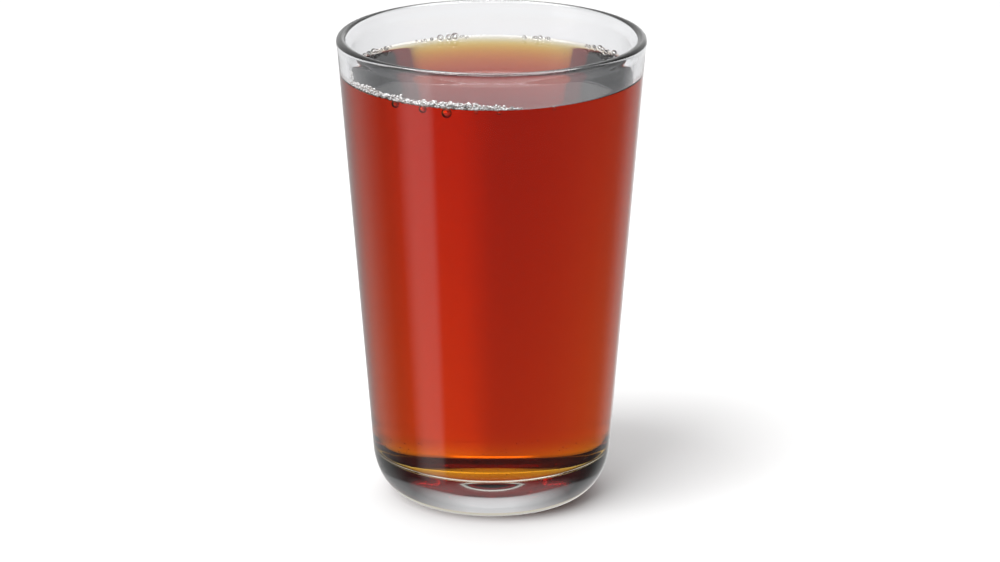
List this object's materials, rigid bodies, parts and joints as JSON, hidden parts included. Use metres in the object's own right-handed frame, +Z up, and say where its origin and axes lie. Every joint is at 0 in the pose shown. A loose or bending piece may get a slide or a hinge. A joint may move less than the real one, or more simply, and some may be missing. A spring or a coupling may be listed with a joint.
{
  "type": "glass of tea",
  "caption": "Tapered clear glass tumbler with a heavy rounded base and rounded lip, filled near the brim with black tea that has a little froth along its edge.",
  "frame": {"origin": "middle of the foot, on the plane that the glass stands on", "axes": "+Z up along the axis of the glass, -Y towards the front that the picture shows"},
  "size_m": [0.078, 0.078, 0.1205],
  "materials": {
    "glass": "clear, polished",
    "tea": "clear red-brown liquid"
  },
  "bodies": {
    "root": {"glass": "glass", "tea": "tea"}
  },
  "joints": []
}
